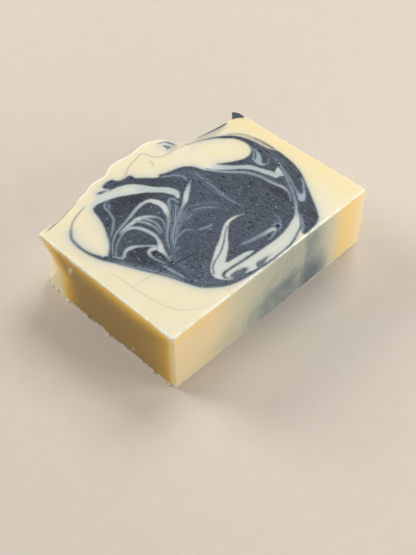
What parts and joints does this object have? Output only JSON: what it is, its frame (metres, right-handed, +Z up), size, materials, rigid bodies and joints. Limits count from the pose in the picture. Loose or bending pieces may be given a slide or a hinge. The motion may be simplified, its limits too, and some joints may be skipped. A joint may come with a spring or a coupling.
{
  "type": "bar of soap",
  "caption": "Hand-cut rectangular bar of ivory soap with a charcoal swirl, flat cut faces, straight moulded sides and one wavy spooned side.",
  "frame": {"origin": "centre of the bounding box in plan, on the lower cut face that the bar lies on", "axes": "+X along the long side, from one moulded side to the other; +Y towards the wavy loaf top; +Z up, out of the upper cut face"},
  "size_m": [0.0906, 0.0716, 0.0245],
  "materials": {
    "swirled_soap": "smooth waxy satin"
  },
  "bodies": {
    "root": {"soap_bar": "swirled_soap"}
  },
  "joints": []
}
